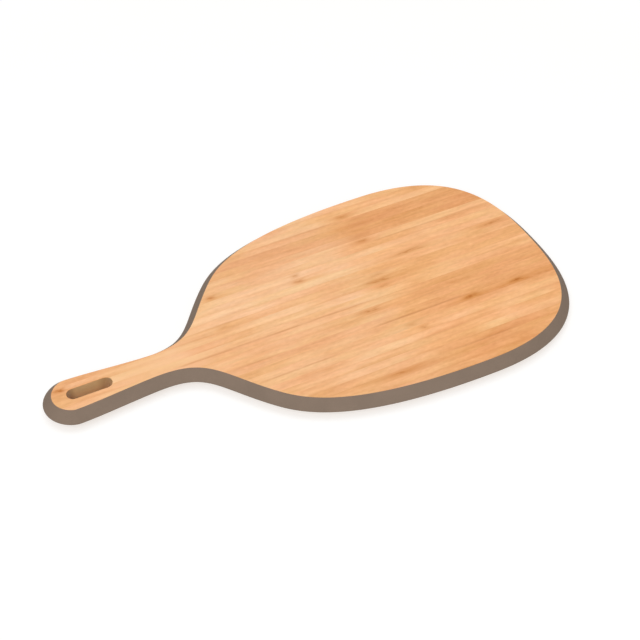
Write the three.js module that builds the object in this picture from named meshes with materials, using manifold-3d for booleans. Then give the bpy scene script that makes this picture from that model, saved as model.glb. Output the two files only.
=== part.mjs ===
// Bread board: a paddle of edge-pressed bamboo strips with a hanging slot and a bevelled edge band.
// Millimetres, +Z up. The board lies flat with its handle towards -X, centred over the origin.
import * as THREE from 'three';
import { mergeVertices } from 'three/addons/utils/BufferGeometryUtils.js';
import Module from 'manifold-3d';

const wasm = await Module();
wasm.setup();

// Panel: one strip on the axis and an equal number to each side of it
const thickness = 15;
const stripsPerSide = 15;

// Widths of the panel at the stations of its outline
const handleEndWidth = 29.6;
const neckWidth = 20.9;
const shoulderWidth = 123;
const bladeWidth = 201.5;

// Lengths of the stretches between those stations, from the tip of the handle to the far end
const handleEndLength = 12.5;
const gripLength = 64;
const shoulderLength = 66;
const bladeRiseLength = 150;
const bladeEndLength = 94.2;

// Angle of the outline to the axis, in degrees, where the shoulder is steepest
const shoulderSlope = 48;

// Fullness of the outline's curves: each tangent's reach as a share of the stretch that it shapes
const tipFullness = 0.64;
const handleEndFullness = 0.32;
const gripFullness = 0.24;
const neckFullness = 0.545;
const shoulderInFullness = 0.42;
const shoulderOutFullness = 0.09;
const bladeRiseFullness = 0.727;
const bladeEndFullness = 0.95;
const endFullness = 0.403;

// Hanging slot through the handle
const slotSetback = 10.4;
const slotLength = 33;
const slotWidth = 10;

// Edge band
const edgeProjection = 6.7;
const noseRadius = 0.8;
const bondGap = 0.3;

// Facets along each stretch of the outline, round the nose of the band and round the slot
const handleEndSteps = 10;
const gripSteps = 8;
const shoulderSteps = 14;
const bladeRiseSteps = 16;
const bladeEndSteps = 22;
const noseSteps = 4;
const slotSteps = 12;

// Bamboo strips that stand out in tone from the rest
const paleStrips = ['strip_left_04', 'strip_left_08', 'strip_left_13', 'strip_right_07', 'strip_right_10'];
const darkStrips = ['strip_left_09', 'strip_left_10', 'strip_left_11', 'strip_left_12', 'strip_right_13'];

const bambooColour = '#eeb684';
const paleBambooColour = '#f6c595';
const darkBambooColour = '#e2a56f';
const bandColour = '#8a796b';

const panelLength = handleEndLength + gripLength + shoulderLength + bladeRiseLength + bladeEndLength;
const stripWidth = bladeWidth / (2 * stripsPerSide + 1);

function bambooMaterial(name) {
  let colour = bambooColour;
  if (paleStrips.includes(name)) {
    colour = paleBambooColour;
  }
  if (darkStrips.includes(name)) {
    colour = darkBambooColour;
  }
  return new THREE.MeshStandardMaterial({ color: colour, roughness: 0.55, metalness: 0 });
}

function bandMaterial() {
  return new THREE.MeshStandardMaterial({ color: bandColour, roughness: 0.75, metalness: 0 });
}

// One stretch of the outline: a cubic curve between two stations, each with a point and a tangent reach
function stretch(start, startReach, end, endReach) {
  return new THREE.CubicBezierCurve(start, start.clone().add(startReach), end.clone().sub(endReach), end);
}

// The half of the panel's outline at +Y, from the tip of the handle to the far end
function halfOutlineStretches() {
  const slope = Math.tan(THREE.MathUtils.degToRad(shoulderSlope));
  const along = (reach) => new THREE.Vector2(reach, 0);
  const across = (reach) => new THREE.Vector2(0, reach);
  const sloped = (reach) => new THREE.Vector2(reach, reach * slope);

  const handleEndAt = handleEndLength;
  const neckAt = handleEndAt + gripLength;
  const shoulderAt = neckAt + shoulderLength;
  const bladeAt = shoulderAt + bladeRiseLength;

  const tip = new THREE.Vector2(0, 0);
  const handleEnd = new THREE.Vector2(handleEndAt, handleEndWidth / 2);
  const neck = new THREE.Vector2(neckAt, neckWidth / 2);
  const shoulder = new THREE.Vector2(shoulderAt, shoulderWidth / 2);
  const blade = new THREE.Vector2(bladeAt, bladeWidth / 2);
  const farEnd = new THREE.Vector2(panelLength, 0);

  const tipReach = across(tipFullness * handleEnd.y);
  const handleEndReach = along(handleEndFullness * handleEndLength);
  const gripReach = along(gripFullness * gripLength);
  const neckReach = along(neckFullness * shoulderLength);
  const shoulderInReach = sloped(shoulderInFullness * shoulderLength);
  const shoulderOutReach = sloped(shoulderOutFullness * bladeRiseLength);
  const bladeRiseReach = along(bladeRiseFullness * bladeRiseLength);
  const bladeEndReach = along(bladeEndFullness * bladeEndLength);
  const endReach = across(-endFullness * blade.y);

  return [
    { curve: stretch(tip, tipReach, handleEnd, handleEndReach), steps: handleEndSteps },
    { curve: stretch(handleEnd, gripReach, neck, gripReach), steps: gripSteps },
    { curve: stretch(neck, neckReach, shoulder, shoulderInReach), steps: shoulderSteps },
    { curve: stretch(shoulder, shoulderOutReach, blade, bladeRiseReach), steps: bladeRiseSteps },
    { curve: stretch(blade, bladeEndReach, farEnd, endReach), steps: bladeEndSteps },
  ];
}

// Points of the half outline, each with the direction that points out of the panel there
function halfOutline() {
  const stations = [];
  for (const { curve, steps } of halfOutlineStretches()) {
    const first = stations.length === 0 ? 0 : 1;
    for (let step = first; step <= steps; step += 1) {
      const tangent = curve.getTangent(step / steps);
      const outward = new THREE.Vector2(-tangent.y, tangent.x);
      stations.push({ point: curve.getPoint(step / steps), outward });
    }
  }
  return stations;
}

function mirrored(vector) {
  return new THREE.Vector2(vector.x, -vector.y);
}

// Point where the line from one point to another reaches the height y
function crossing(from, to, y) {
  const share = (y - from.y) / (to.y - from.y);
  return new THREE.Vector2(from.x + share * (to.x - from.x), y);
}

// Outlines of the lengths of panel that lie between two lines along the board, at low and high
function stripOutlines(edge, low, high) {
  const outlines = [];
  let outline = null;
  for (let index = 1; index < edge.length; index += 1) {
    const from = edge[index - 1];
    const to = edge[index];
    if (from.y <= low && to.y > low) {
      outline = [crossing(from, to, low)];
    }
    if (outline === null) {
      continue;
    }
    if ((from.y < high) !== (to.y < high)) {
      outline.push(crossing(from, to, high));
    }
    if (to.y > low && to.y < high) {
      outline.push(to);
    }
    if (to.y <= low) {
      outline.push(crossing(from, to, low));
      outlines.push(outline);
      outline = null;
    }
  }
  return outlines;
}

function extruded(outline, height) {
  return new THREE.ExtrudeGeometry(new THREE.Shape(outline), { depth: height, bevelEnabled: false });
}

function solidFrom(geometry) {
  const bare = geometry.clone();
  bare.deleteAttribute('normal');
  bare.deleteAttribute('uv');
  const merged = mergeVertices(bare);
  const mesh = new wasm.Mesh({
    numProp: 3,
    vertProperties: new Float32Array(merged.attributes.position.array),
    triVerts: new Uint32Array(merged.index.array),
  });
  return new wasm.Manifold(mesh);
}

function geometryFrom(solid) {
  const mesh = solid.getMesh();
  const geometry = new THREE.BufferGeometry();
  geometry.setAttribute('position', new THREE.BufferAttribute(mesh.vertProperties, 3));
  geometry.setIndex(new THREE.BufferAttribute(mesh.triVerts, 1));
  geometry.computeVertexNormals();
  return geometry;
}

// The slot's cutter: a straight run between two half-round ends, taller than the panel
function slotCutter() {
  const radius = slotWidth / 2;
  const shape = new THREE.Shape();
  shape.absarc(slotSetback + radius, 0, radius, Math.PI / 2, 1.5 * Math.PI, false);
  shape.absarc(slotSetback + slotLength - radius, 0, radius, -Math.PI / 2, Math.PI / 2, false);
  const settings = { depth: 3 * thickness, bevelEnabled: false, curveSegments: slotSteps };
  return new THREE.ExtrudeGeometry(shape, settings).translate(0, 0, -thickness);
}

// A block that holds every strip between two places along the board
function lengthOfBoard(from, to) {
  const block = new THREE.BoxGeometry(to - from, 2 * bladeWidth, 3 * thickness);
  return block.translate((from + to) / 2, 0, thickness / 2);
}

// The strip on the axis, in the two lengths that the slot leaves of it
function centreStrips(edge, slot) {
  const [half] = stripOutlines(edge, 0, stripWidth / 2);
  const outline = [...half, ...half.slice(1, -1).reverse().map(mirrored)];
  const strip = solidFrom(extruded(outline, thickness)).subtract(slot);
  const slotMiddle = slotSetback + slotLength / 2;
  const tipSide = solidFrom(lengthOfBoard(-panelLength, slotMiddle));
  const bladeSide = solidFrom(lengthOfBoard(slotMiddle, 2 * panelLength));
  return [
    { name: 'strip_centre_tip', geometry: geometryFrom(strip.intersect(tipSide)) },
    { name: 'strip_centre', geometry: geometryFrom(strip.intersect(bladeSide)) },
  ];
}

// The strips beside the axis, in mirrored pairs: a strip that the neck cuts through comes in separate lengths
function sideStrips(edge, slot) {
  const strips = [];
  const jointAt = (index) => (index + 0.5) * stripWidth;
  for (let index = 1; index <= stripsPerSide; index += 1) {
    const low = jointAt(index - 1);
    const high = index === stripsPerSide ? bladeWidth : jointAt(index);
    const pieces = stripOutlines(edge, low, high);
    pieces.forEach((outline, piece) => {
      const last = piece === pieces.length - 1;
      const suffix = String(index).padStart(2, '0') + (last ? '' : `_tip_${piece + 1}`);
      const cut = (side) => {
        const geometry = extruded(side, thickness);
        return low < slotWidth / 2 ? geometryFrom(solidFrom(geometry).subtract(slot)) : geometry;
      };
      strips.push({ name: `strip_left_${suffix}`, geometry: cut(outline) });
      strips.push({ name: `strip_right_${suffix}`, geometry: cut(outline.map(mirrored)) });
    });
  }
  return strips;
}

// Section of the edge band as distances out from the panel and heights: two bevels that meet in a round nose
function bandSection() {
  const middle = thickness / 2;
  const centre = edgeProjection - noseRadius;
  const reach = Math.hypot(centre - bondGap, middle);
  const bevel = Math.atan2(middle, bondGap - centre) - Math.acos(noseRadius / reach);
  const section = [[bondGap, thickness]];
  for (let step = 0; step <= noseSteps; step += 1) {
    const angle = bevel * (1 - (2 * step) / noseSteps);
    section.push([centre + noseRadius * Math.cos(angle), middle + noseRadius * Math.sin(angle)]);
  }
  section.push([bondGap, 0]);
  return section;
}

// The band: its section carried once round the panel's outline
function bandGeometry(half) {
  const farHalf = half.slice(1, -1).reverse();
  const other = farHalf.map(({ point, outward }) => ({ point: mirrored(point), outward: mirrored(outward) }));
  const stations = [...half, ...other];
  const section = bandSection();
  const sides = section.length;
  const positions = [];
  const triangles = [];
  stations.forEach(({ point, outward }, station) => {
    const next = (station + 1) % stations.length;
    section.forEach(([distance, height], side) => {
      positions.push(point.x + outward.x * distance, point.y + outward.y * distance, height);
      const nextSide = (side + 1) % sides;
      const here = station * sides + side;
      const ahead = next * sides + side;
      const below = station * sides + nextSide;
      const aheadBelow = next * sides + nextSide;
      triangles.push(here, ahead, below, ahead, aheadBelow, below);
    });
  });
  const geometry = new THREE.BufferGeometry();
  geometry.setAttribute('position', new THREE.Float32BufferAttribute(positions, 3));
  geometry.setIndex(triangles);
  geometry.computeVertexNormals();
  return geometry;
}

function breadBoard() {
  const board = new THREE.Group();
  const half = halfOutline();
  const edge = half.map(({ point }) => point);
  const slot = solidFrom(slotCutter());
  for (const { name, geometry } of [...centreStrips(edge, slot), ...sideStrips(edge, slot)]) {
    const strip = new THREE.Mesh(geometry, bambooMaterial(name));
    strip.name = name;
    board.add(strip);
  }
  const band = new THREE.Mesh(bandGeometry(half), bandMaterial());
  band.name = 'edge_band';
  board.add(band);
  board.position.x = -panelLength / 2;
  return board;
}

export default breadBoard();
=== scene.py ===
import math
import random

import bpy
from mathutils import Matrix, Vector
from mathutils.geometry import interpolate_bezier


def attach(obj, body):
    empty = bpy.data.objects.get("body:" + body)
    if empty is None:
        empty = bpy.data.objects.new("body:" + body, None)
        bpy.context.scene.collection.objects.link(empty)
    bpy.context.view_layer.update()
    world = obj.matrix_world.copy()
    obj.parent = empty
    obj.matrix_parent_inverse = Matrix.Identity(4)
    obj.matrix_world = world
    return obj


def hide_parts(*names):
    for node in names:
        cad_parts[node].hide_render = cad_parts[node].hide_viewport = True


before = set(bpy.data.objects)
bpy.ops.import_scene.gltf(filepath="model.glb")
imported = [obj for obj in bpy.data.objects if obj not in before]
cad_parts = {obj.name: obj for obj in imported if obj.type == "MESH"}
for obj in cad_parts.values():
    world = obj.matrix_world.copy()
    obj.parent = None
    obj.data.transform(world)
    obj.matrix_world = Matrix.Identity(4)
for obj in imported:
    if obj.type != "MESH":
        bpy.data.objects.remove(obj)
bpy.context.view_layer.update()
mm = 0.001
white = (1, 1, 1, 1)

# outline of the bamboo panel, mm, handle tip to far end
board = {
    "thickness": 15.0,
    "stretches": (12.5, 64.0, 66.0, 150.0, 94.2),
    "widths": (29.6, 20.9, 123.0, 201.5),  # handle end, neck, shoulder, blade
    "shoulderSlope": 48.0,
    # how far each stretch holds its heading where it starts and where it ends
    "pulls": ((0.64, 0.32), (0.24, 0.24), (0.545, 0.42), (0.09, 0.727), (0.95, 0.403)),
    "stepsPerStretch": (28, 24, 40, 48, 64),
    "stripsPerSide": 15,
}
board["length"] = sum(board["stretches"])
board["stripWidth"] = board["widths"][3] / (2 * board["stripsPerSide"] + 1)


# the +Y half of the outline, in metres in the row frame
def halfOutline():
    stretches = board["stretches"]
    slope = math.tan(math.radians(board["shoulderSlope"]))
    across = [0.0] + [width / 2 for width in board["widths"]] + [0.0]
    along = [sum(stretches[:index]) for index in range(len(stretches) + 1)]
    knots = [Vector((x, y, 0)) for x, y in zip(along, across)]
    headings = ((0, 1, 0), (1, 0, 0), (1, 0, 0), (1, slope, 0), (1, 0, 0), (0, -1, 0))  # at the knots
    points = []
    for index, (leave, reach) in enumerate(board["pulls"]):
        start, end = knots[index], knots[index + 1]
        leave *= stretches[index] if start.y > 0 else across[1]  # square to the axis at the tip
        reach *= stretches[index] if end.y > 0 else across[-2]  # and at the far end
        first = start + Vector([part * leave for part in headings[index]])
        last = end - Vector([part * reach for part in headings[index + 1]])
        run = interpolate_bezier(start, first, last, end, board["stepsPerStretch"][index] + 1)
        points += run if index == 0 else run[1:]
    points[-1].y = 0
    middle = Vector((board["length"] / 2, 0, 0))
    return [(point - middle) * mm for point in points]


# X in the row frame of a place in mm from the panel's tip
def fromTip(place):
    return (place - board["length"] / 2) * mm


def mirrored(points):
    return [Vector((p.x, -p.y, p.z)) for p in points]


def crossing(a, b, y):
    return a.lerp(b, (y - a.y) / (b.y - a.y)).xyz


# runs of the panel between two lines along the board
def stripRuns(edge, low, high):
    runs, run = [], None
    for a, b in zip(edge, edge[1:]):
        if a.y <= low < b.y:
            run = [crossing(a, b, low)]
        if run is None:
            continue
        if (a.y < high) != (b.y < high):
            run.append(crossing(a, b, high))
        if low < b.y < high:
            run.append(b.copy())
        if b.y <= low:
            run.append(crossing(a, b, low))
            runs.append(run)
            run = None
    return runs


slot = {
    "setback": 10.4,
    "length": 33.0,
    "width": 10.0,
    "steps": 40,
    "roundOver": 0.4,
    "roundSegments": 4,
    "edgeReach": 0.01,  # how near the wall an edge of the mouth lies, mm
    "wallReach": 0.1,  # and how near a face of the wall
    "wallTilt": 0.1,
    "wallColour": (0.60, 0.51, 0.265, 1),
    "wallShare": 0.55,
    "endGrainColour": (0.31, 0.135, 0.055, 1),
    "endGrainAndShadeShares": (0.55, 0.46),  # at the tip's end and at the far end; real darker end grain, which at the tip's end also stands in for painted shade
    "endGrainZones": ((-3, 4), (-6, 3)),  # mm from where the straight part starts, and ends
    "paintedShadeTint": (0.92, 0.80, 0.74, 1),  # painted shade, darker towards the underside
    "paintedShadeZone": (11.5, 4.5),  # mm up, where that painted shade starts and is full
    "bumpStrength": 0.35,
}
slot["radius"] = slot["width"] / 2 * mm


# where the straight part of the slot starts and ends
def slotSpan():
    near = fromTip(slot["setback"]) + slot["radius"]
    return near, near + slot["length"] * mm - 2 * slot["radius"]


# one round end of the slot, from the line y = low to the line y = high
def slotEnd(far, low, high):
    radius = slot["radius"]
    centre = slotSpan()[1 if far else 0]
    start, end = math.asin(low / radius), math.asin(high / radius)
    points = []
    for step in range(slot["steps"] + 1):
        angle = start + (end - start) * step / slot["steps"]
        reach = radius * math.cos(angle) * (1 if far else -1)
        points.append(Vector((centre + reach, radius * math.sin(angle), 0)))
    return points


# how far a point lies outside the slot's wall
def offSlot(point):
    near, far = slotSpan()
    return Vector((point.x - min(max(point.x, near), far), point.y)).length - slot["radius"]


# flat outlines of all strips, by the name of the node each one stands for
def stripOutlines():
    edge = halfOutline()
    half = board["stripWidth"] / 2 * mm
    radius = slot["radius"]
    beyond = 1.0  # outside any outline
    outlines = {}
    run = stripRuns(edge, 0, half)[0]
    slotMiddle = fromTip(slot["setback"] + slot["length"] / 2)
    tip = [p for p in run if p.x < slotMiddle]
    rest = [p for p in run if p.x > slotMiddle]
    nearEnd = slotEnd(False, -half, half)
    farEnd = slotEnd(True, -half, half)
    outlines["strip_centre_tip"] = tip + nearEnd[::-1] + mirrored(tip[1:])[::-1]
    outlines["strip_centre"] = farEnd + rest + mirrored(rest[:-1])[::-1]
    for index in range(1, board["stripsPerSide"] + 1):
        low = (2 * index - 1) * half
        high = low + 2 * half if index < board["stripsPerSide"] else beyond
        run = stripRuns(edge, low, high)[-1]
        if low < radius:
            run = run + slotEnd(True, low, radius) + slotEnd(False, low, radius)[::-1]
        outlines["strip_left_%02d" % index] = run
        outlines["strip_right_%02d" % index] = mirrored(run)
    return outlines


# node helpers
floatSocket, vectorSocket = "NodeSocketFloat", "NodeSocketVector"
noiseSpan = (0.3, 0.7)  # most of a noise lies between these


def feed(tree, socket, value):
    if isinstance(value, bpy.types.NodeSocket):
        tree.links.new(value, socket)
    else:
        socket.default_value = value


def addNode(tree, kind, inputs=None, **settings):
    node = tree.nodes.new(kind)
    for name, value in settings.items():
        setattr(node, name, value)
    for name, value in (inputs or {}).items():
        feed(tree, node.inputs[name], value)
    return node


def calc(tree, operation, *values, clamp=False):
    numbers = dict(enumerate(values))
    return addNode(tree, "ShaderNodeMath", numbers, operation=operation, use_clamp=clamp).outputs[0]


def plus(tree, first, second):
    return calc(tree, "ADD", first, second)


def minus(tree, first, second):
    return calc(tree, "SUBTRACT", first, second)


def times(tree, first, second):
    return calc(tree, "MULTIPLY", first, second)


def vectorCalc(tree, operation, *values):
    node = addNode(tree, "ShaderNodeVectorMath", dict(enumerate(values)), operation=operation)
    return node.outputs["Value" if operation == "LENGTH" else "Vector"]


def remap(tree, value, fromLow, fromHigh, toLow=0.0, toHigh=1.0, smooth=True):
    inputs = {"Value": value, "From Min": fromLow, "From Max": fromHigh, "To Min": toLow, "To Max": toHigh}
    style = "SMOOTHSTEP" if smooth else "LINEAR"
    return addNode(tree, "ShaderNodeMapRange", inputs, interpolation_type=style).outputs["Result"]


def mixColour(tree, factor, first, second, blend="MIX"):
    inputs = {0: factor, 6: first, 7: second}  # the sockets for colours
    return addNode(tree, "ShaderNodeMix", inputs, data_type="RGBA", blend_type=blend).outputs[2]


def addNoise(tree, vector, scale, detail):
    inputs = {"Vector": vector, "Scale": scale, "Detail": detail}
    return addNode(tree, "ShaderNodeTexNoise", inputs).outputs["Fac"]


# a noise about its middle, times a share
def centred(tree, noise, share):
    return times(tree, minus(tree, noise, 0.5), share)


def addBump(tree, shader, height, strength, distance):
    inputs = {"Height": height, "Strength": strength, "Distance": distance}
    feed(tree, shader.inputs["Normal"], addNode(tree, "ShaderNodeBump", inputs).outputs[0])


def newGroup(name, inputs, outputs):
    group = bpy.data.node_groups.new(name, "ShaderNodeTree")
    for way, titles in (("INPUT", inputs), ("OUTPUT", outputs)):
        for title in titles:
            kind = vectorSocket if title == "Vector" else floatSocket
            group.interface.new_socket(title, in_out=way, socket_type=kind)
    return group, group.nodes.new("NodeGroupInput").outputs, group.nodes.new("NodeGroupOutput").inputs


def placeGroup(tree, group, links):
    return addNode(tree, "ShaderNodeGroup", links, node_tree=group).outputs


def newMaterial(name):
    material = bpy.data.materials.new(name)
    material.use_nodes = True
    tree = material.node_tree
    tree.nodes.clear()
    shader = tree.nodes.new("ShaderNodeBsdfPrincipled")
    output = tree.nodes.new("ShaderNodeOutputMaterial")
    tree.links.new(shader.outputs[0], output.inputs[0])
    return material, tree, shader


def objectPlace(tree):
    return tree.nodes.new("ShaderNodeTexCoord").outputs["Object"]


grainNoise = {
    "shift": (0.731, 0.317, 0.913),  # where a seed of 1 moves it
    "swayScale": 38.0,
    "sway": 0.0022,
    "layers": {  # scale along and across, detail
        "Bands": (9.0, 190.0, 2.0),
        "Fibres": (64.0, 420.0, 2.0),
        "Dashes": (260.0, 480.0, 1.0),
        "Drift": (20.0, 85.0, 2.0),
        "Blush": (22.0, 60.0, 1.0),
    },
}


# fibres that run along X, with their own pattern for each seed
def fibreGroup():
    group, inputs, outputs = newGroup("bambooFibres", ("Vector", "Seed"), grainNoise["layers"])
    shift = addNode(group, "ShaderNodeCombineXYZ")
    for index, share in enumerate(grainNoise["shift"]):
        feed(group, shift.inputs[index], times(group, inputs["Seed"], share))
    moved = vectorCalc(group, "ADD", inputs["Vector"], shift.outputs[0])
    wave = times(group, addNoise(group, moved, grainNoise["swayScale"], detail=1.0), grainNoise["sway"])
    sway = addNode(group, "ShaderNodeCombineXYZ", {"Y": wave})
    wavy = vectorCalc(group, "ADD", moved, sway.outputs[0])
    for name, (along, over, detail) in grainNoise["layers"].items():
        stretched = vectorCalc(group, "MULTIPLY", wavy, (along, over, over))
        feed(group, outputs[name], addNoise(group, stretched, scale=1.0, detail=detail))
    return group


culmMark = {  # shares of the mark's length along, and of half a strip across
    "wobble": 0.5,
    "swing": 0.28,  # how far its fibres swing across
    "swingSize": (0.36, 0.44),
    "branchSlope": 1.3,
    "branchStart": (-0.05, 0.1),
    "branchSize": (0.42, 0.3),
    "branchShare": 0.8,
    "haloSize": (0.55, 1.0),
    "tailFade": 0.9,
    "tailReach": 4,  # mm more than that
    "tailBreadth": 0.42,
    "grainy": (0.38, 0.6, 0.58, 1.05),  # span of the fibres' noise, and what it becomes
    "crumbly": (0.36, 0.62, 0.5, 1.3),  # the same of the dashes' noise
    "handShare": 7.3,  # of the seed, to swing some marks the other way
}


# the mark that a culm node leaves on a strip: its fibres swing across, and a branch leaves them
def nodeMarkGroup():
    titles = ("Along", "Across", "Place", "Length", "Seed", "Fibres", "Bands", "Dashes")
    group, inputs, outputs = newGroup("culmNodeMark", titles, ("Core", "Halo"))

    def bell(value, width):
        share = calc(group, "DIVIDE", value, width)
        return calc(group, "EXPONENT", times(group, times(group, share, share), -1.0))

    def spot(along, over, size):
        return times(group, bell(over, size[1]), bell(along, size[0]))

    away = minus(group, inputs["Along"], inputs["Place"])
    wobble = centred(group, inputs["Bands"], culmMark["wobble"])
    reach = plus(group, calc(group, "DIVIDE", away, inputs["Length"]), wobble)
    turn = calc(group, "FRACT", times(group, inputs["Seed"], culmMark["handShare"]))
    hand = calc(group, "SIGN", minus(group, turn, 0.5))
    height = calc(group, "DIVIDE", inputs["Across"], board["stripWidth"] / 2 * mm)
    height = times(group, height, hand)
    grainy = remap(group, inputs["Fibres"], *culmMark["grainy"])
    crumbly = remap(group, inputs["Dashes"], *culmMark["crumbly"])

    swing = remap(group, reach, -0.5, 0.5, -culmMark["swing"], culmMark["swing"])
    onSwing = minus(group, height, swing)
    main = spot(reach, onSwing, culmMark["swingSize"])
    onBranch = plus(group, height, times(group, reach, culmMark["branchSlope"]))
    leaves = times(group, remap(group, reach, *culmMark["branchStart"]), culmMark["branchShare"])
    branch = times(group, leaves, spot(reach, onBranch, culmMark["branchSize"]))
    core = times(group, calc(group, "MAXIMUM", main, branch), times(group, grainy, crumbly))
    feed(group, outputs["Core"], core)

    around = spot(reach, height, culmMark["haloSize"])
    fade = times(group, inputs["Length"], -culmMark["tailFade"])
    fade = plus(group, fade, -culmMark["tailReach"] * mm)
    tail = calc(group, "EXPONENT", calc(group, "DIVIDE", calc(group, "ABSOLUTE", away), fade))
    tail = times(group, times(group, tail, bell(onSwing, culmMark["tailBreadth"])), grainy)
    feed(group, outputs["Halo"], calc(group, "MAXIMUM", around, tail))
    return group


# faint even mottle and fine tooth of a finished surface
def toothGroup():
    layers = ("Mottle", "Tooth")
    group, inputs, outputs = newGroup("surfaceTooth", ("Vector", "Mottle Scale", "Tooth Scale"), layers)
    for name in layers:
        noise = addNoise(group, inputs["Vector"], inputs[name + " Scale"], detail=3.0)
        feed(group, outputs[name], noise)
    return group


fibres = fibreGroup()
nodeMark = nodeMarkGroup()
tooth = toothGroup()

bamboo = {
    "shades": (  # place on the tone scale, linear colour
        (0.0, (0.59, 0.225, 0.055)),
        (0.3, (0.745, 0.325, 0.106)),
        (0.6, (0.866, 0.438, 0.184)),
        (0.8, (0.935, 0.532, 0.260)),
        (1.0, (0.965, 0.61, 0.335)),
    ),
    "layers": (("Bands", 0.24), ("Drift", 0.55)),  # share of each in the tone
    "mottle": 0.18,
    "fineLayers": (("Bands", 0.17), ("Fibres", 0.21), ("Dashes", 0.15)),  # and in the fibres' shading
    "fineTint": (1.0, 0.72, 0.47),
    "gripGrain": 0.45,  # how much of both shows on the handle
    "crown": 0.025,  # how much lighter a strip's middle is than its sides
    "turnSoft": 20,  # mm either side of where a strip turns deeper
    "turnTintAndSheen": (1.03, 0.99, 0.92, 1),  # warmer past that place; partly the strips' own change of tone, partly painted sheen that leaves the handle side paler
    "streakSoft": 11,  # mm either side of where a streak starts or ends
    "pinkBlush": (1.01, 0.98, 1.025, 1),
    "yellowBlush": (0.99, 1.02, 0.975, 1),
    "marks": (("Halo", 0.50, (0.67, 0.25, 0.032, 1)), ("Core", 0.66, (0.50, 0.145, 0.003, 1))),
    "glueColour": (0.57, 0.21, 0.05, 1),
    "glueWidth": 1.5,
    "glueWaver": (0.36, 0.6, 0.35, 1.0),  # span of the fibres' noise, and what it becomes
    "roughness": (0.40, 0.54),
    "mottleScale": 26.0,
    "toothScale": 2200.0,
    "toothShare": 0.4,  # in the bump
    "bumpStrength": 0.12,
    "bumpDistance": 0.00025,
}


def readFloat(tree, name):
    return addNode(tree, "ShaderNodeAttribute", attribute_name=name).outputs["Fac"]


def readTriple(tree, name):
    attribute = addNode(tree, "ShaderNodeAttribute", attribute_name=name)
    return addNode(tree, "ShaderNodeSeparateXYZ", {"Vector": attribute.outputs["Vector"]}).outputs


# 1 between two places along the board, soft at both ends
def stretchMask(tree, along, start, end):
    soft = bamboo["streakSoft"] * mm
    rise = remap(tree, minus(tree, along, start), -soft, soft)
    fall = remap(tree, minus(tree, end, along), -soft, soft)
    return times(tree, rise, fall)


def shadeRamp(tree, tone):
    ramp = addNode(tree, "ShaderNodeValToRGB", {"Fac": tone})
    stops = ramp.color_ramp.elements
    for index, (spot, colour) in enumerate(bamboo["shades"]):
        stop = stops[index] if index < 2 else stops.new(spot)  # a new ramp has two stops
        stop.position = spot
        stop.color = (*colour, 1)
    return ramp.outputs["Color"]


# the slot's wall: dull along the strips, dark where their ends show (at the tip's end partly painted shade),
# with painted shade deeper towards the underside
def cutWallColourAndShade(tree, colour, along, up):
    near, far = slotSpan()
    nearShare, farShare = slot["endGrainAndShadeShares"]
    (nearStart, nearEnd), (farStart, farEnd) = slot["endGrainZones"]
    colour = mixColour(tree, slot["wallShare"], colour, slot["wallColour"])
    # darker end grain at both ends; the stronger share at the tip's end is also painted shade
    endGrain = remap(tree, along, near + nearStart * mm, near + nearEnd * mm, nearShare, 0.0)
    colour = mixColour(tree, endGrain, colour, slot["endGrainColour"])
    endGrain = remap(tree, along, far + farStart * mm, far + farEnd * mm, 0.0, farShare)
    colour = mixColour(tree, endGrain, colour, slot["endGrainColour"])
    # painted shade: the wall is darkened towards the underside, where less light reaches
    paintedShade = remap(tree, up, *(height * mm for height in slot["paintedShadeZone"]))
    return mixColour(tree, paintedShade, colour, slot["paintedShadeTint"], "MULTIPLY")


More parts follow.
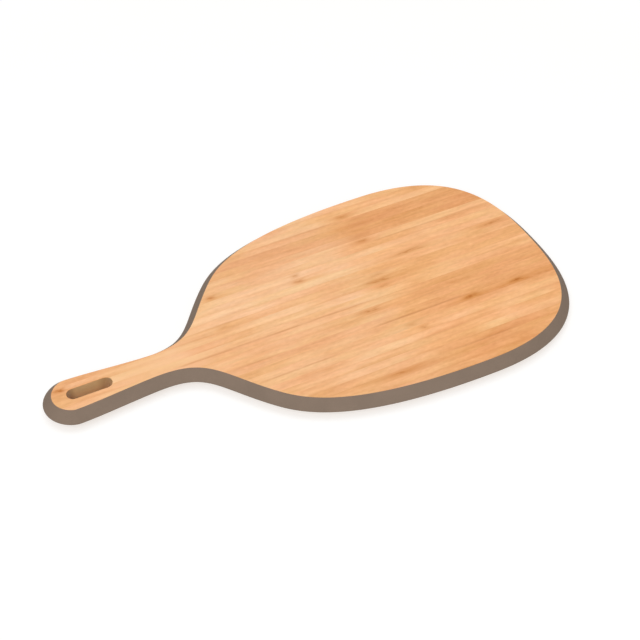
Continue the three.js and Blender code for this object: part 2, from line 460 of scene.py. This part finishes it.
def bambooMaterial(name, cutWall):
    material, tree, shader = newMaterial(name)
    place = objectPlace(tree)
    along, over, up = addNode(tree, "ShaderNodeSeparateXYZ", {"Vector": place}).outputs
    seed = readFloat(tree, "grainSeed")
    grain = placeGroup(tree, fibres, {"Vector": place, "Seed": seed})
    scales = {"Mottle Scale": bamboo["mottleScale"], "Tooth Scale": bamboo["toothScale"]}
    skin = placeGroup(tree, tooth, {"Vector": place, **scales})

    # place across the strip, from its middle
    width = board["stripWidth"] * mm
    lane = calc(tree, "FRACT", plus(tree, calc(tree, "DIVIDE", over, width), 0.5))
    lane = times(tree, minus(tree, lane, 0.5), width)

    # tone of the strip, with its own lighter and deeper streaks
    tone, turnPlace, turnChange = readTriple(tree, "tone")
    soft = bamboo["turnSoft"] * mm
    turned = remap(tree, minus(tree, along, turnPlace), -soft, soft)
    tone = plus(tree, tone, times(tree, turned, turnChange))
    for streak in ("streakOne", "streakTwo"):
        start, end, amount = readTriple(tree, streak)
        tone = plus(tree, tone, times(tree, stretchMask(tree, along, start, end), amount))
    grip = stretchMask(tree, along, *(fromTip(where) for where in strips["gripSpan"]))
    tone = plus(tree, tone, times(tree, grip, readFloat(tree, "gripChange")))
    calm = remap(tree, grip, 0, 1, 1, bamboo["gripGrain"], smooth=False)
    for layer, share in bamboo["layers"]:
        tone = plus(tree, tone, times(tree, centred(tree, grain[layer], share), calm))
    tone = plus(tree, tone, centred(tree, skin["Mottle"], bamboo["mottle"]))
    crown = bamboo["crown"] / 2
    tone = plus(tree, tone, remap(tree, calc(tree, "ABSOLUTE", lane), 0.0, width / 2, crown, -crown))
    colour = shadeRamp(tree, tone)

    # drift between pink and yellow, then the light and shade of single fibres
    blush = remap(tree, grain["Blush"], *noiseSpan)
    blush = mixColour(tree, blush, bamboo["pinkBlush"], bamboo["yellowBlush"])
    colour = mixColour(tree, 1.0, colour, blush, "MULTIPLY")
    # warmer past the turn, so paler towards the handle: partly the wood's own tone, partly painted sheen
    colour = mixColour(tree, turned, colour, bamboo["turnTintAndSheen"], "MULTIPLY")
    fine = 0.0
    for layer, share in bamboo["fineLayers"]:
        fine = plus(tree, fine, times(tree, centred(tree, grain[layer], share), calm))
    inputs = {0: bamboo["fineTint"], "Scale": fine}
    shade = addNode(tree, "ShaderNodeVectorMath", inputs, operation="SCALE")
    colour = mixColour(tree, 1.0, colour, shade.outputs[0], "ADD")

    # marks of the culm's nodes
    for culmNode in ("nodeOne", "nodeTwo"):
        spot, strength, length = readTriple(tree, culmNode)
        links = {"Along": along, "Across": lane, "Place": spot, "Length": length, "Seed": seed}
        links.update({layer: grain[layer] for layer in ("Fibres", "Bands", "Dashes")})
        mark = placeGroup(tree, nodeMark, links)
        for part, share, tint in bamboo["marks"]:
            amount = times(tree, strength, share)
            amount = calc(tree, "MULTIPLY", mark[part], amount, clamp=True)
            colour = mixColour(tree, amount, colour, tint)

    # glue lines along both sides of the strip
    outwards = times(tree, lane, calc(tree, "SIGN", over))
    waver = remap(tree, grain["Fibres"], *bamboo["glueWaver"])
    for glue, side in (("glueInner", 1.0), ("glueOuter", -1.0)):
        away = plus(tree, times(tree, outwards, side), width / 2)
        line = times(tree, remap(tree, away, 0.0, bamboo["glueWidth"] * mm, 1.0, 0.0), waver)
        start, end, strength = readTriple(tree, glue)
        strength = times(tree, strength, stretchMask(tree, along, start, end))
        colour = mixColour(tree, times(tree, line, strength), colour, bamboo["glueColour"])
    if cutWall:
        colour = cutWallColourAndShade(tree, colour, along, up)
    feed(tree, shader.inputs["Base Color"], colour)

    roughness = remap(tree, grain["Fibres"], *noiseSpan, *bamboo["roughness"])
    feed(tree, shader.inputs["Roughness"], roughness)
    height = plus(tree, grain["Fibres"], times(tree, skin["Tooth"], bamboo["toothShare"]))
    strength = slot["bumpStrength"] if cutWall else bamboo["bumpStrength"]
    addBump(tree, shader, height, strength, bamboo["bumpDistance"])
    return material


band = {
    "projection": 6.7,
    "noseRadius": 0.8,
    "noseSteps": 10,
    "arrisAngle": 40,  # edges that bend more stay crisp
    "colour": (0.234, 0.174, 0.132, 1),
    "gloss": 0.04,
    "mottle": 0.07,
    "mottleScale": 60.0,
    "speck": 0.08,
    "speckSpan": (0.25, 0.75),
    "toothScale": 2600.0,
    "roughness": (0.58, 0.7),
    "bumpStrength": 0.15,
    "bumpDistance": 0.0002,
}


def taupeMaterial():
    material, tree, shader = newMaterial("matteTaupe")
    scales = {"Mottle Scale": band["mottleScale"], "Tooth Scale": band["toothScale"]}
    skin = placeGroup(tree, tooth, {"Vector": objectPlace(tree), **scales})
    mottle, speck = band["mottle"] / 2, band["speck"] / 2
    cloud = remap(tree, skin["Mottle"], *noiseSpan, 1 - mottle, 1 + mottle)
    specks = remap(tree, skin["Tooth"], *band["speckSpan"], 1 - speck, 1 + speck)
    shade = times(tree, cloud, specks)
    grey = addNode(tree, "ShaderNodeCombineColor", {channel: shade for channel in range(3)})
    colour = mixColour(tree, 1.0, band["colour"], grey.outputs[0], "MULTIPLY")
    feed(tree, shader.inputs["Base Color"], colour)
    feed(tree, shader.inputs["Specular IOR Level"], band["gloss"])
    feed(tree, shader.inputs["Roughness"], remap(tree, skin["Mottle"], *noiseSpan, *band["roughness"]))
    addBump(tree, shader, skin["Tooth"], band["bumpStrength"], band["bumpDistance"])
    return material


# looks of single strips, by side and number from the axis: places are mm from the panel's tip
strips = {
    "seed": 11,
    "weld": 0.001,  # points closer than this become one, mm
    "plain": 0.66,
    "shades": (  # tones of the strips that aren't plain
        (0.80, ("left_15", "left_04", "centre")),
        (0.75, ("left_05",)),
        (0.71, ("left_08", "left_07", "left_06", "right_01")),
        (0.61, ("left_12", "left_11", "left_02", "right_04", "right_05", "right_06")),
        (0.56, ("left_10", "right_03", "right_12", "right_13", "right_14", "right_15")),
        (0.50, ("centre_tip",)),
    ),
    "spread": 0.012,
    "grainSeeds": (1, 40),
    "turn": (256, 14, -0.095),  # where strips turn deeper, how far that varies, and by how much
    "gripSpan": (46, 112),
    "gripChanges": {"centre": -0.05, "left_01": 0.065, "right_01": 0.045},  # of tone, on the handle alone
    "quietNodes": ((120, 380), 0.08, 10),  # range of places, strength, length, where none is named
    "nodes": {  # place, strength, length
        "centre": ((258, 0.55, 14), (330, 0.05, 10)),
        "centre_tip": ((5, 0.3, 8), (20, 0.05, 10)),
        "left_01": ((256, 1.15, 24), (7, 1.3, 11)),
        "left_02": ((134, 0.42, 12), (261, 0.5, 20)),
        "left_04": ((295, 0.85, 34), (369.5, 0.75, 28)),
        "left_05": ((203, 0.85, 12), (374, 0.05, 10)),
        "left_06": ((204, 0.7, 8), (310, 0.05, 10)),
        "left_07": ((137, 1.0, 9), (305, 0.15, 12)),
        "left_08": ((266.5, 0.95, 13), (180, 0.05, 10)),
        "left_09": ((268, 0.4, 22), (170, 0.05, 10)),
        "left_10": ((270, 0.4, 22), (210, 0.05, 10)),
        "left_11": ((274, 0.45, 24), (190, 0.05, 10)),
        "left_12": ((276, 0.45, 24), (215, 0.05, 10)),
        "left_13": ((267, 0.95, 13), (225, 0.05, 10)),
        "right_03": ((236.5, 0.9, 24), (352, 0.05, 10)),
        "right_06": ((312, 1.55, 17), (352, 1.35, 18)),
        "right_07": ((256, 0.5, 10), (190, 0.05, 10)),
        "right_08": ((264, 0.7, 9), (330, 0.05, 10)),
        "right_09": ((182, 0.3, 9), (300, 0.05, 10)),
        "right_13": ((230, 0.85, 38), (330, 0.05, 10)),
    },
    "quietStreaks": ((130, 260), (40, 120), 0.02),  # starts, range of lengths, most change
    "streaks": {  # from, to, change of tone, two at most
        "centre": ((104, 152, -0.21), (246, 286, -0.15)),
        "left_01": ((-20, 58, -0.12), (150, 205, 0.09)),
        "left_02": ((-20, 70, -0.12), (335, 392, 0.07)),
        "left_03": ((96, 205, 0.06), (280, 392, 0.12)),
        "left_04": ((150, 250, 0.06), (325, 352, 0.11)),
        "left_05": ((150, 200, 0.11), (325, 392, 0.12)),
        "left_06": ((129, 206, 0.10), (262, 392, 0.13)),
        "left_07": ((150, 198, 0.09), (350, 392, 0.10)),
        "left_08": ((206, 254, 0.11), (278, 390, 0.16)),
        "left_09": ((262, 390, -0.15), (170, 240, 0.01)),
        "left_10": ((284, 390, -0.05), (150, 200, -0.05)),
        "left_11": ((284, 390, -0.05), (180, 250, -0.01)),
        "left_12": ((284, 390, -0.09), (206, 250, -0.01)),
        "left_13": ((177, 252, 0.12), (278, 360, 0.17)),
        "left_14": ((248, 330, 0.08), (180, 220, 0.02)),
        "right_01": ((-20, 64, -0.08), (288, 390, 0.18)),
        "right_02": ((104, 148, -0.05), (285, 390, -0.11)),
        "right_03": ((150, 200, 0.08), (285, 390, 0.08)),
        "right_04": ((106, 150, -0.06), (150, 252, 0.035)),
        "right_05": ((150, 198, 0.03), (290, 350, 0.01)),
        "right_06": ((288, 390, -0.10),),
        "right_07": ((136, 190, 0.08), (318, 352, 0.15)),
        "right_08": ((143, 195, 0.12), (282, 390, 0.12)),
        "right_09": ((205, 245, 0.06), (318, 372, 0.20)),
        "right_10": ((318, 390, 0.07), (205, 245, -0.09)),
        "right_11": ((255, 300, -0.04), (306, 372, 0.24)),
        "right_12": ((256, 318, -0.14), (190, 240, -0.02)),
        "right_14": ((190, 330, -0.13), (330, 390, 0.01)),
        "right_15": ((240, 282, -0.12), (282, 340, -0.06)),
    },
    "quietGlue": (112, 390, 0.06),
    "glueLines": {  # from, to, strength, on the side towards the axis
        "left_02": (96, 124, 0.35),
        "left_03": (119, 148, 0.4),
        "left_08": (274, 375, 0.4),
        "left_13": (206, 257, 0.4),
        "right_02": (92, 240, 0.6),
        "right_04": (279, 298, 0.4),
        "right_05": (124, 158, 0.45),
        "right_06": (235, 303, 0.75),
        "right_08": (136, 194, 0.55),
        "right_10": (254, 291, 0.4),
        "right_13": (274, 322, 0.65),
    },
}

bambooFace = bambooMaterial("edgePressedBamboo", False)
bambooCut = bambooMaterial("bambooSlotWall", True)
matteTaupe = taupeMaterial()
print("materials ready")


# the strip one further from the axis
def nextOut(short):
    if short[-2:].isdigit():
        return "%s%02d" % (short[:-2], int(short[-2:]) + 1)
    return "left_01"


# a strip's look as the values of its attributes, with places in the row frame
def stripLook(name, rng):
    short = name.replace("strip_", "")
    tone = strips["plain"]
    for level, names in strips["shades"]:
        if short in names:
            tone = level
    tone += rng.uniform(-1, 1) * strips["spread"]
    turnPlace, turnSpread, turnChange = strips["turn"]
    turnPlace += rng.uniform(-turnSpread, turnSpread)
    look = {"tone": (tone, fromTip(turnPlace), turnChange)}
    look["grainSeed"] = rng.uniform(*strips["grainSeeds"])
    look["gripChange"] = strips["gripChanges"].get(short, 0.0)

    places, strength, length = strips["quietNodes"]
    quiet = [(rng.uniform(*places), strength, length) for turn in range(2)]
    marks = zip(("nodeOne", "nodeTwo"), strips["nodes"].get(short, quiet))
    for title, (where, strength, length) in marks:
        look[title] = (fromTip(where), strength, length * mm)

    starts, lengths, most = strips["quietStreaks"]
    quiet = [(start, start + rng.uniform(*lengths), rng.uniform(-most, most)) for start in starts]
    runs = list(zip(("streakOne", "streakTwo"), strips["streaks"].get(short, quiet)))
    for title, joint in (("glueInner", short), ("glueOuter", nextOut(short))):
        runs.append((title, strips["glueLines"].get(joint, strips["quietGlue"])))
    for title, (start, end, amount) in runs:
        look[title] = (fromTip(start), fromTip(end), amount)
    return look


lookKinds = {
    "tone": "FLOAT_VECTOR",
    "grainSeed": "FLOAT",
    "gripChange": "FLOAT",
    "nodeOne": "FLOAT_VECTOR",
    "nodeTwo": "FLOAT_VECTOR",
    "streakOne": "FLOAT_VECTOR",
    "streakTwo": "FLOAT_VECTOR",
    "glueInner": "FLOAT_VECTOR",
    "glueOuter": "FLOAT_VECTOR",
}


def newTree(name, sockets):
    tree = bpy.data.node_groups.new(name, "GeometryNodeTree")
    tree.is_modifier = True
    tree.interface.new_socket("Geometry", in_out="INPUT", socket_type="NodeSocketGeometry")
    tree.interface.new_socket("Geometry", in_out="OUTPUT", socket_type="NodeSocketGeometry")
    tree.interface.new_socket("Material", in_out="INPUT", socket_type="NodeSocketMaterial")
    for title, kind in sockets:
        tree.interface.new_socket(title, in_out="INPUT", socket_type=kind)
    return tree, tree.nodes.new("NodeGroupInput").outputs, tree.nodes.new("NodeGroupOutput").inputs


# ends a tree in plain geometry with its material on
def closeTree(tree, inputs, outputs, geometry):
    real = addNode(tree, "GeometryNodeRealizeInstances", {"Geometry": geometry})
    links = {"Geometry": real.outputs[0], "Material": inputs["Material"]}
    painted = addNode(tree, "GeometryNodeSetMaterial", links)
    feed(tree, outputs["Geometry"], painted.outputs[0])


# a strip: its flat outline raised to the panel's thickness, carrying its look as attributes
def stripTree():
    sockets = [("Thickness", floatSocket)]
    sockets += [(name, floatSocket if kind == "FLOAT" else vectorSocket) for name, kind in lookKinds.items()]
    tree, inputs, outputs = newTree("bambooStrip", sockets)
    under = addNode(tree, "GeometryNodeFlipFaces", {"Mesh": inputs["Geometry"]})
    links = {"Mesh": inputs["Geometry"], "Offset Scale": inputs["Thickness"]}
    raised = addNode(tree, "GeometryNodeExtrudeMesh", {**links, "Offset": (0, 0, 1), "Individual": False})
    joined = tree.nodes.new("GeometryNodeJoinGeometry")
    feed(tree, joined.inputs[0], under.outputs[0])
    feed(tree, joined.inputs[0], raised.outputs["Mesh"])
    links = {"Geometry": joined.outputs[0], "Distance": strips["weld"] * mm}
    geometry = addNode(tree, "GeometryNodeMergeByDistance", links).outputs[0]
    for name, kind in lookKinds.items():
        links = {"Geometry": geometry, "Name": name, "Value": inputs[name]}
        geometry = addNode(tree, "GeometryNodeStoreNamedAttribute", links, data_type=kind).outputs[0]
    closeTree(tree, inputs, outputs, geometry)
    return tree


# runs a tree on a piece and keeps the result as its plain mesh
def runTree(piece, tree, values):
    modifier = piece.modifiers.new(tree.name, "NODES")
    modifier.node_group = tree
    sockets = [item for item in tree.interface.items_tree if item.in_out == "INPUT"]
    keys = {socket.name: socket.identifier for socket in sockets}
    for name, value in values.items():
        modifier[keys[name]] = value
    keepResult(piece)


def keepResult(piece):
    deps = bpy.context.evaluated_depsgraph_get()
    mesh = bpy.data.meshes.new_from_object(piece.evaluated_get(deps))
    mesh.name = piece.name
    piece.modifiers.clear()
    piece.data = mesh


def newPiece(name, points, edges, faces, material=None):
    mesh = bpy.data.meshes.new(name)
    mesh.from_pydata(points, edges, faces)
    if material:
        mesh.materials.append(material)
    piece = bpy.data.objects.new(name, mesh)
    bpy.context.scene.collection.objects.link(piece)
    return piece


def finishPiece(piece, node):
    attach(piece, "root")
    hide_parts(node)


# eases the slot's mouth on both faces, and gives its walls the cut finish
def easeSlot(piece):
    mesh = piece.data
    weights = mesh.attributes.new("bevel_weight_edge", "FLOAT", "EDGE")
    edgeReach, wallReach = slot["edgeReach"] * mm, slot["wallReach"] * mm
    for edge in mesh.edges:
        a, b = (mesh.vertices[index].co for index in edge.vertices)
        level = abs(a.z - b.z) < strips["weld"] * mm
        if level and max(abs(offSlot(a)), abs(offSlot(b))) < edgeReach:
            weights.data[edge.index].value = 1.0
    bevel = piece.modifiers.new("easedMouth", "BEVEL")
    bevel.limit_method = "WEIGHT"
    bevel.width = slot["roundOver"] * mm
    bevel.segments = slot["roundSegments"]
    keepResult(piece)
    piece.data.materials.append(bambooCut)
    for face in piece.data.polygons:
        upright = abs(face.normal.z) < slot["wallTilt"]
        face.material_index = 1 if upright and offSlot(face.center) < wallReach else 0


def makeStrips():
    rng = random.Random(strips["seed"])
    tree = stripTree()
    for node, outline in stripOutlines().items():
        area = sum(a.x * b.y - b.x * a.y for a, b in zip(outline, outline[1:] + outline[:1]))
        if area < 0:  # it runs clockwise
            outline = outline[::-1]
        piece = newPiece("bamboo_" + node, outline, [], [list(range(len(outline)))], bambooFace)
        values = {"Thickness": board["thickness"] * mm, "Material": bambooFace, **stripLook(node, rng)}
        runTree(piece, tree, values)
        if min(abs(point.y) for point in outline) < slot["radius"]:
            easeSlot(piece)
        finishPiece(piece, node)
    print("strips made")


# section of the band: metres out from the panel's wall, and up
def bandSection():
    middle = board["thickness"] / 2
    centre = band["projection"] - band["noseRadius"]
    reach = math.hypot(centre, middle)
    bevel = math.atan2(middle, -centre) - math.acos(band["noseRadius"] / reach)
    points = [(0.0, board["thickness"])]
    for step in range(band["noseSteps"] + 1):
        angle = bevel * (1 - 2 * step / band["noseSteps"])
        out = centre + band["noseRadius"] * math.cos(angle)
        points.append((out, middle + band["noseRadius"] * math.sin(angle)))
    points.append((0.0, 0.0))
    return [(out * mm, up * mm) for out, up in points]


# the band: its section carried round the outline
def bandTree():
    tree, inputs, outputs = newTree("edgeBand", [("Section", "NodeSocketObject")])
    path = addNode(tree, "GeometryNodeMeshToCurve", {"Mesh": inputs["Geometry"]})
    upright = addNode(tree, "GeometryNodeSetCurveNormal", {"Curve": path.outputs[0]}, mode="Z_UP")
    info = addNode(tree, "GeometryNodeObjectInfo", {"Object": inputs["Section"]})
    section = addNode(tree, "GeometryNodeMeshToCurve", {"Mesh": info.outputs["Geometry"]})
    links = {"Curve": upright.outputs[0], "Profile Curve": section.outputs[0]}
    swept = addNode(tree, "GeometryNodeCurveToMesh", links)
    smooth = addNode(tree, "GeometryNodeSetShadeSmooth", {"Geometry": swept.outputs[0]})
    bend = tree.nodes.new("GeometryNodeInputMeshEdgeAngle").outputs["Unsigned Angle"]
    arris = calc(tree, "GREATER_THAN", bend, math.radians(band["arrisAngle"]))
    links = {"Geometry": smooth.outputs[0], "Selection": arris, "Shade Smooth": False}
    crisp = addNode(tree, "GeometryNodeSetShadeSmooth", links, domain="EDGE")
    closeTree(tree, inputs, outputs, crisp.outputs[0])
    return tree


def ring(count):
    return [(index, (index + 1) % count) for index in range(count)]


def makeBand():
    half = halfOutline()
    loop = half + mirrored(half[1:-1])[::-1]
    section = [Vector((-out, -up, 0)) for out, up in bandSection()[::-1]]
    profile = newPiece("bandSection", section, ring(len(section)), [])
    piece = newPiece("taupe_edge_band", loop, ring(len(loop)), [], matteTaupe)
    runTree(piece, bandTree(), {"Section": profile, "Material": matteTaupe})
    bpy.data.objects.remove(profile)
    finishPiece(piece, "edge_band")
    print("edge band made", len(piece.data.polygons))


makeStrips()
makeBand()

studio = {
    "floorSize": 6.0,
    "floorColour": (0.93, 0.93, 0.93, 1),
    "floorRoughness": 0.9,
    "floorGlow": (0.725, 0.66, 0.61, 1),  # what the floor adds where it shows; tinted warm so the shadow gets a painted warm bounce
    "floorSeen": (0.335, 0.40, 0.445, 1),  # its colour there, which keeps the shadow
    "floorFade": (0.45, 1.3),  # how far from the board it starts to go white, and is white
    "worldLight": 0.35,
}


# 1 for rays that show the background: straight to the camera, in a reflection or through glass
def seesBackground(tree):
    rays = tree.nodes.new("ShaderNodeLightPath").outputs
    seen = calc(tree, "MAXIMUM", rays["Is Camera Ray"], rays["Is Glossy Ray"])
    return calc(tree, "MAXIMUM", seen, rays["Is Transmission Ray"])


def makeFloor():
    size = studio["floorSize"] / 2
    corners = [(-size, -size, 0), (size, -size, 0), (size, size, 0), (-size, size, 0)]
    material, tree, shader = newMaterial("paleFloor")
    floor = newPiece("floor", corners, [], [(0, 1, 2, 3)], material)
    seen = seesBackground(tree)
    away = vectorCalc(tree, "LENGTH", objectPlace(tree))
    faded = remap(tree, away, *studio["floorFade"])
    finish = {
        "Base Color": mixColour(tree, seen, studio["floorColour"], studio["floorSeen"]),
        "Roughness": studio["floorRoughness"],
        "Specular IOR Level": 0.0,
        "Emission Color": mixColour(tree, faded, studio["floorGlow"], white),
        "Emission Strength": seen,
    }
    for name, value in finish.items():
        feed(tree, shader.inputs[name], value)


def makeWorld():
    world = bpy.data.worlds.new("whiteStudio")
    bpy.context.scene.world = world
    world.use_nodes = True
    tree = world.node_tree
    tree.nodes.clear()
    level = remap(tree, seesBackground(tree), 0, 1, studio["worldLight"], 1.0, smooth=False)
    sky = addNode(tree, "ShaderNodeBackground", {"Color": white, "Strength": level})
    output = tree.nodes.new("ShaderNodeOutputWorld")
    tree.links.new(sky.outputs[0], output.inputs[0])


lamps = {  # place, what it points at, size, watts
    "key": ((-1.6, -1.8, 2.6), (0, 0, 0), 2.0, 49.0),
    "top": ((0, 0, 2.2), (0, 0, 0), 1.6, 16.5),
    "fill": ((0.25, -2.4, 0.95), (0, 0, 0), 1.6, 6.6),
    "sheen": ((0.293, 1.286, 1.365), (-0.103, 0.01, 0.015), 0.7, 2.9),
}


def makeLamps():
    for name, (place, target, size, watts) in lamps.items():
        light = bpy.data.lights.new(name, "AREA")
        light.energy = watts
        light.size = size
        lamp = bpy.data.objects.new(name, light)
        lamp.location = place
        lamp.rotation_euler = (Vector(target) - Vector(place)).to_track_quat("-Z", "Y").to_euler()
        lamp.visible_camera = False
        lamp.visible_diffuse = name != "sheen"  # that one shows only as gloss
        bpy.context.scene.collection.objects.link(lamp)


camera = {
    "place": (-0.29618, -0.61218, 0.67263),
    "lens": 72.72,
    "sensor": 36.0,
    "elevation": 44.369,
    "turn": 26.7,  # from +Y towards +X
}


def makeCamera():
    data = bpy.data.cameras.new("photoCamera")
    data.lens = camera["lens"]
    data.sensor_width = camera["sensor"]
    eye = bpy.data.objects.new("photoCamera", data)
    eye.location = camera["place"]
    eye.rotation_euler = (math.radians(90 - camera["elevation"]), 0, math.radians(-camera["turn"]))
    bpy.context.scene.collection.objects.link(eye)
    bpy.context.scene.camera = eye


makeFloor()
makeWorld()
makeLamps()
makeCamera()
bpy.context.scene.view_settings.view_transform = "Standard"
print("studio ready")
